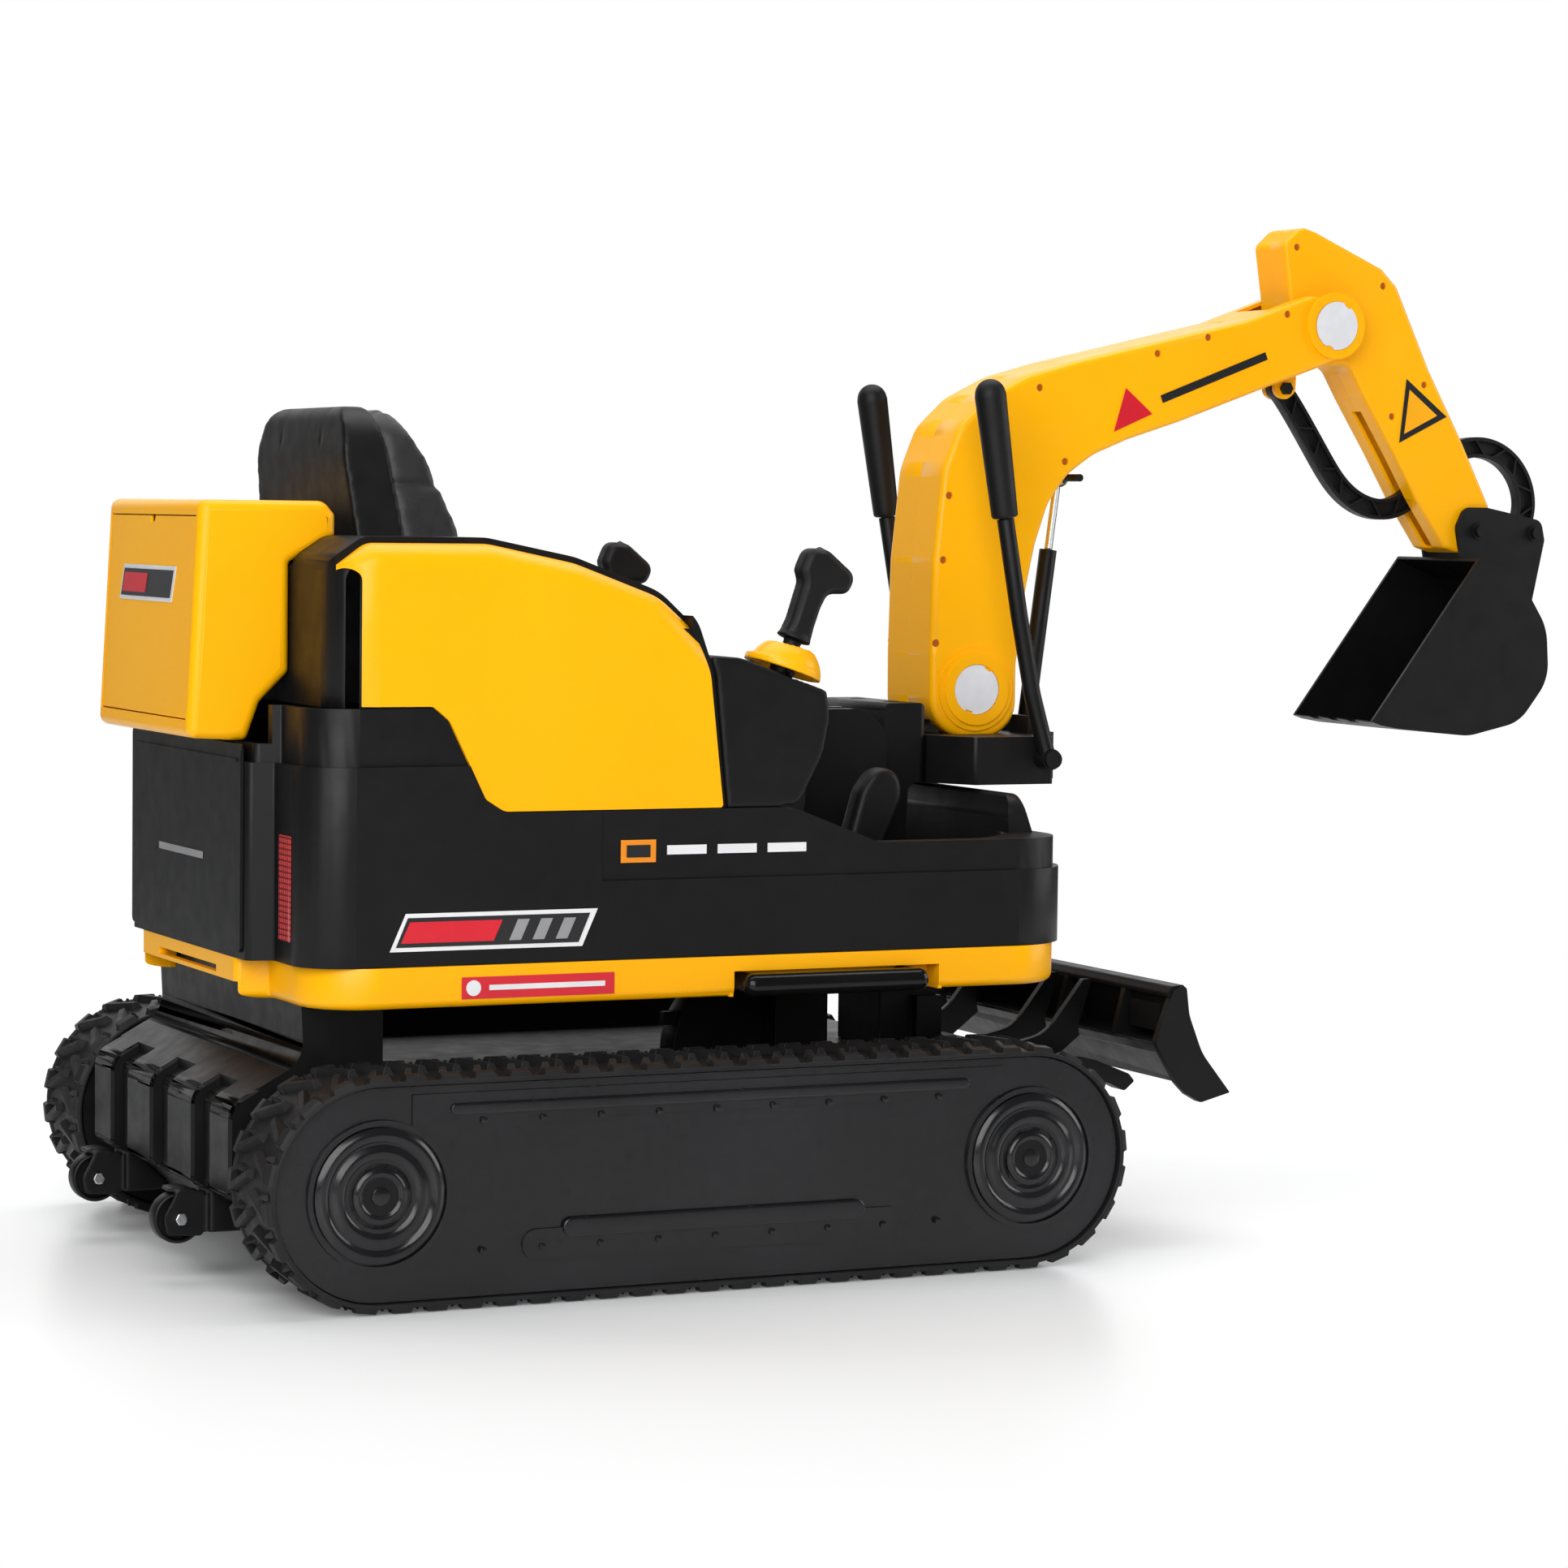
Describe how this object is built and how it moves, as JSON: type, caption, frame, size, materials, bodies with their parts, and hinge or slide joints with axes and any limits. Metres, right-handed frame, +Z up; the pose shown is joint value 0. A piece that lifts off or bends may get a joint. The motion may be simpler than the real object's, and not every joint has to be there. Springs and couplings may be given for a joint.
{
  "type": "ride-on digger",
  "caption": "Child's electric ride-on digger: rubber-belt track base, seat with side arms, rear storage box, joysticks, hand levers working a hinged boom, stick and bucket.",
  "frame": {"origin": "on the floor under the middle of the whole machine, on its centre plane", "axes": "+X forward towards the bucket, +Y to the rider's left, +Z up"},
  "size_m": [1.6762, 0.744, 1.0683],
  "materials": {
    "yellow_plastic": "semi-gloss amber-yellow moulded plastic",
    "black_plastic": "satin black moulded plastic with fine grain",
    "gloss_black": "gloss black",
    "smoked_cover": "smoked dark translucent glossy plastic",
    "track_rubber": "dull black rubber",
    "grip_rubber": "soft black vinyl grip",
    "seat_foam": "black moulded foam, fine grain",
    "zinc": "bright zinc-plated steel",
    "chrome_rod": "polished rod",
    "cap_plastic": "pale grey plastic cap",
    "red_lens": "red translucent plastic"
  },
  "bodies": {
    "chassis": {"undercarriage": "black_plastic", "front_columns": "black_plastic", "side_frames": "black_plastic", "track_belt_left": "track_rubber", "track_belt_right": "track_rubber", "track_covers": "smoked_cover", "hub_caps": "gloss_black", "track_axles": "zinc", "gearboxes": "black_plastic", "caster_forks": "black_plastic", "caster_bolts": "zinc", "dozer_blade": "black_plastic", "blade_arms": "black_plastic", "base_pan": "yellow_plastic", "side_steps": "gloss_black", "lower_body": "black_plastic", "rear_panel": "black_plastic", "tail_lights": "red_lens", "upper_body": "black_plastic", "side_panel_left": "yellow_plastic", "side_panel_right": "yellow_plastic", "storage_box": "yellow_plastic", "seat_base": "black_plastic", "backrest_shell": "black_plastic", "backrest_pad": "seat_foam", "seat_cushion": "seat_foam", "joystick_pods": "black_plastic", "dome_collars": "yellow_plastic", "console": "black_plastic", "arm_tower": "black_plastic", "arm_bracket": "black_plastic", "knee_guards": "black_plastic", "bracket_pins": "zinc", "lever_bolts": "zinc"},
    "drive_wheel_left": {"drive_wheel_left": "black_plastic"},
    "drive_wheel_right": {"drive_wheel_right": "black_plastic"},
    "idler_wheel_left": {"idler_wheel_left": "black_plastic"},
    "idler_wheel_right": {"idler_wheel_right": "black_plastic"},
    "caster_wheel_left": {"caster_wheel_left": "track_rubber"},
    "caster_wheel_right": {"caster_wheel_right": "track_rubber"},
    "box_door": {"box_door": "yellow_plastic"},
    "joystick_left": {"joystick_left": "black_plastic"},
    "joystick_right": {"joystick_right": "black_plastic"},
    "power_button": {"power_button": "red_lens"},
    "boom": {"boom_shell_left": "yellow_plastic", "boom_shell_right": "yellow_plastic", "pivot_caps": "cap_plastic", "boom_pins": "zinc"},
    "stick": {"stick_shell_left": "yellow_plastic", "stick_shell_right": "yellow_plastic"},
    "link": {"bucket_link": "black_plastic"},
    "bucket": {"bucket": "black_plastic", "bucket_ears": "black_plastic", "bucket_bolts": "zinc"},
    "strut_tube": {"strut_tube": "gloss_black"},
    "strut_rod": {"strut_rod": "chrome_rod"},
    "lever_left": {"lever_left": "gloss_black", "lever_grip_left": "grip_rubber"},
    "lever_right": {"lever_right": "gloss_black", "lever_grip_right": "grip_rubber"}
  },
  "joints": [
    {"name": "drive_spin_left", "type": "hinge", "parent": "chassis", "child": "drive_wheel_left", "pos_m": [-0.6901, 0.311, 0.112], "axis": [0, 1, 0], "continuous": true},
    {"name": "idler_spin_left", "type": "hinge", "parent": "chassis", "child": "idler_wheel_left", "pos_m": [-0.0041, 0.311, 0.112], "axis": [0, 1, 0], "continuous": true},
    {"name": "caster_spin_left", "type": "hinge", "parent": "chassis", "child": "caster_wheel_left", "pos_m": [-0.8131, 0.137, 0.065], "axis": [0, 1, 0], "continuous": true},
    {"name": "joystick_tilt_left", "type": "hinge", "parent": "chassis", "child": "joystick_left", "pos_m": [-0.2271, 0.25, 0.594], "axis": [0, 1, 0], "range_deg": [-10, 10], "stiffness_Nm_per_rad": 1.2},
    {"name": "lever_swing_left", "type": "hinge", "parent": "chassis", "child": "lever_left", "pos_m": [0.1369, 0.137, 0.494], "axis": [0, -1, 0], "range_deg": [-16, 1]},
    {"name": "drive_spin_right", "type": "hinge", "parent": "chassis", "child": "drive_wheel_right", "pos_m": [-0.6901, -0.311, 0.112], "axis": [0, 1, 0], "continuous": true},
    {"name": "idler_spin_right", "type": "hinge", "parent": "chassis", "child": "idler_wheel_right", "pos_m": [-0.0041, -0.311, 0.112], "axis": [0, 1, 0], "continuous": true},
    {"name": "caster_spin_right", "type": "hinge", "parent": "chassis", "child": "caster_wheel_right", "pos_m": [-0.8131, -0.137, 0.065], "axis": [0, 1, 0], "continuous": true},
    {"name": "joystick_tilt_right", "type": "hinge", "parent": "chassis", "child": "joystick_right", "pos_m": [-0.2271, -0.25, 0.594], "axis": [0, 1, 0], "range_deg": [-10, 10], "stiffness_Nm_per_rad": 1.2},
    {"name": "lever_swing_right", "type": "hinge", "parent": "chassis", "child": "lever_right", "pos_m": [0.1369, -0.137, 0.494], "axis": [0, -1, 0], "range_deg": [-14, 7]},
    {"name": "box_door_hinge", "type": "hinge", "parent": "chassis", "child": "box_door", "pos_m": [-0.80407, 0, 0.5465], "axis": [0, -1, 0], "range_deg": [0, 85]},
    {"name": "power_press", "type": "slide", "parent": "chassis", "child": "power_button", "axis": [0, 0, -1], "range_m": [0, 0.003], "stiffness_N_per_m": 300},
    {"name": "boom_lift", "type": "hinge", "parent": "chassis", "child": "boom", "pos_m": [0.0929, 0, 0.564], "axis": [0, -1, 0], "range_deg": [-22, 10]},
    {"name": "stick_swing", "type": "hinge", "parent": "boom", "child": "stick", "pos_m": [0.5339, 0, 0.961], "axis": [0, -1, 0], "range_deg": [0, 24]},
    {"name": "link_turn", "type": "hinge", "parent": "boom", "child": "link", "pos_m": [0.4969, 0, 0.8925], "axis": [0, -1, 0], "range_deg": [0, 31]},
    {"name": "bucket_curl", "type": "hinge", "parent": "stick", "child": "bucket", "pos_m": [0.7399, 0, 0.7375], "axis": [0, -1, 0], "range_deg": [0, 40]},
    {"name": "strut_turn", "type": "hinge", "parent": "chassis", "child": "strut_tube", "pos_m": [0.1809, 0, 0.498], "axis": [0, -1, 0], "range_deg": [-19, 9]},
    {"name": "strut_slide", "type": "slide", "parent": "strut_tube", "child": "strut_rod", "axis": [0.129, 0, 0.9916], "range_m": [-0.039, 0.018]}
  ],
  "couplings": [
    {"joint": "idler_spin_left", "follows": "drive_spin_left", "ratio": 1},
    {"joint": "idler_spin_right", "follows": "drive_spin_right", "ratio": 1},
    {"joint": "link_turn", "follows": "stick_swing", "ratio": 1.21},
    {"joint": "bucket_curl", "follows": "stick_swing", "ratio": 1.58},
    {"joint": "strut_turn", "follows": "boom_lift", "ratio": 0.85},
    {"joint": "strut_slide", "follows": "boom_lift", "m_per_rad": 0.099},
    {"joint": "lever_swing_right", "follows": "boom_lift", "ratio": 0.6},
    {"joint": "lever_swing_left", "follows": "stick_swing", "ratio": -0.6}
  ]
}
